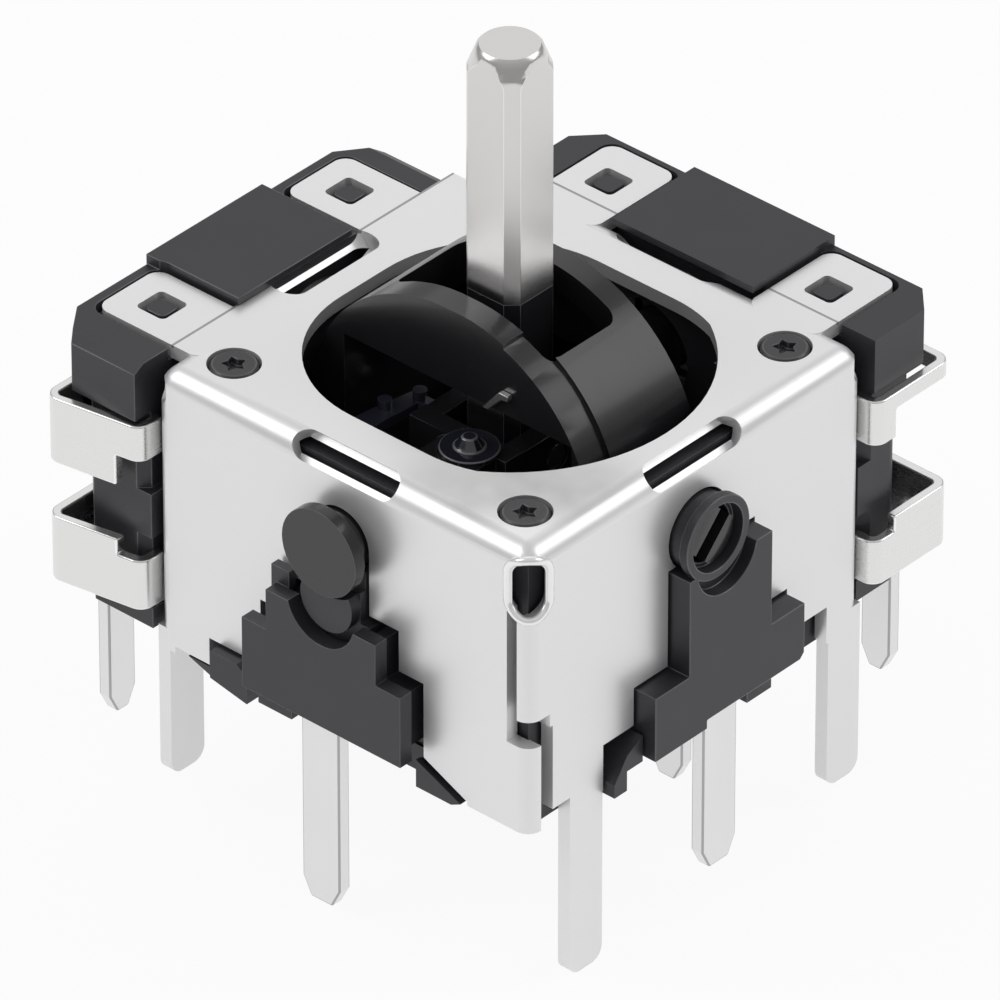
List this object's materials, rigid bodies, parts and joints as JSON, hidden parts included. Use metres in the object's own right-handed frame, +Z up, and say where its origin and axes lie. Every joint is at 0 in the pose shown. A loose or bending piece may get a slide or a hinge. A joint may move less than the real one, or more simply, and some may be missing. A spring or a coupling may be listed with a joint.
{
  "type": "thumbstick module",
  "caption": "Board-mounted two-axis thumbstick: folded metal cover, crossed arch and rocker under a square metal shaft, angle sensors on two sides, push switch in front.",
  "frame": {"origin": "on the stick's axis, in the plane of the board's face that the base sits on", "axes": "+Z up along the stick at rest, -Y towards the push switch, +X towards the slotted pivot; sensors on -X and +Y"},
  "size_m": [0.021, 0.0209, 0.0291],
  "materials": {
    "cover_sheet": "satin nickel-plated sheet",
    "strap_sheet": "bright spring sheet",
    "shaft_metal": "drawn satin metal",
    "spring_wire": "plain spring steel",
    "contact_metal": "plain",
    "contact_dark": "dark moulded",
    "rivet_black": "glossy",
    "terminal_tin": "tin plated",
    "screw_black": "black oxide",
    "board_resin": "printed resin board",
    "gimbal_plastic": "smooth moulded",
    "white_plastic": "natural acetal",
    "black_plastic": "fine moulded"
  },
  "bodies": {
    "module_frame": {"cover": "cover_sheet", "base": "black_plastic", "screw_front": "screw_black", "screw_left": "screw_black", "screw_right": "screw_black", "screw_back": "screw_black", "front_terminal": "terminal_tin", "side_terminal": "terminal_tin", "inner_terminal": "terminal_tin", "switch_housing": "black_plastic", "switch_dome": "spring_wire", "side_bearing": "black_plastic", "contact_plate": "contact_dark", "left_sensor_housing": "black_plastic", "left_element_board": "board_resin", "left_terminal_low": "terminal_tin", "left_terminal_middle": "terminal_tin", "left_terminal_high": "terminal_tin", "left_upper_strap": "strap_sheet", "left_lower_strap": "strap_sheet", "right_sensor_housing": "black_plastic", "right_element_board": "board_resin", "right_terminal_low": "terminal_tin", "right_terminal_middle": "terminal_tin", "right_terminal_high": "terminal_tin", "right_upper_strap": "strap_sheet", "right_lower_strap": "strap_sheet"},
    "switch_slider": {"switch_plunger": "black_plastic"},
    "rocker": {"lower_rocker": "gimbal_plastic", "rocker_rivet": "rivet_black"},
    "stick": {"stick_shaft": "shaft_metal", "stick_body": "black_plastic", "pivot_pin": "shaft_metal", "centring_spring": "spring_wire"},
    "spring_disc": {"centring_disc": "white_plastic"},
    "arch": {"upper_arch": "gimbal_plastic", "arch_wire_leg": "terminal_tin", "left_rotor": "black_plastic", "left_wiper": "contact_metal"},
    "right_rotor_body": {"right_rotor": "black_plastic", "right_wiper": "contact_metal"}
  },
  "joints": [
    {"name": "press", "type": "slide", "parent": "module_frame", "child": "switch_slider", "axis": [0, 0, -1], "range_m": [0, 0.0004], "stiffness_N_per_m": 6000, "springref_m": -0.0002, "deforming": ["switch_dome"]},
    {"name": "rocker_tilt", "type": "hinge", "parent": "switch_slider", "child": "rocker", "pos_m": [0, 0, 0.008], "axis": [0, 1, 0], "range_deg": [-20, 20], "stiffness_Nm_per_rad": 0.012},
    {"name": "stick_tilt", "type": "hinge", "parent": "rocker", "child": "stick", "pos_m": [0, 0, 0.008], "axis": [1, 0, 0], "range_deg": [-20, 20], "stiffness_Nm_per_rad": 0.012},
    {"name": "disc_slide", "type": "slide", "parent": "stick", "child": "spring_disc", "axis": [0, 0, 1], "range_m": [0, 0.0004], "deforming": ["centring_spring"]},
    {"name": "arch_tilt", "type": "hinge", "parent": "module_frame", "child": "arch", "pos_m": [0, 0, 0.008], "axis": [1, 0, 0], "range_deg": [-20, 20]},
    {"name": "right_rotor_turn", "type": "hinge", "parent": "module_frame", "child": "right_rotor_body", "pos_m": [0, 0, 0.008], "axis": [0, 1, 0], "range_deg": [-20, 20]}
  ],
  "couplings": [
    {"joint": "disc_slide", "follows": "press", "ratio": 1},
    {"joint": "arch_tilt", "follows": "stick_tilt", "ratio": 1},
    {"joint": "right_rotor_turn", "follows": "rocker_tilt", "ratio": 1}
  ]
}
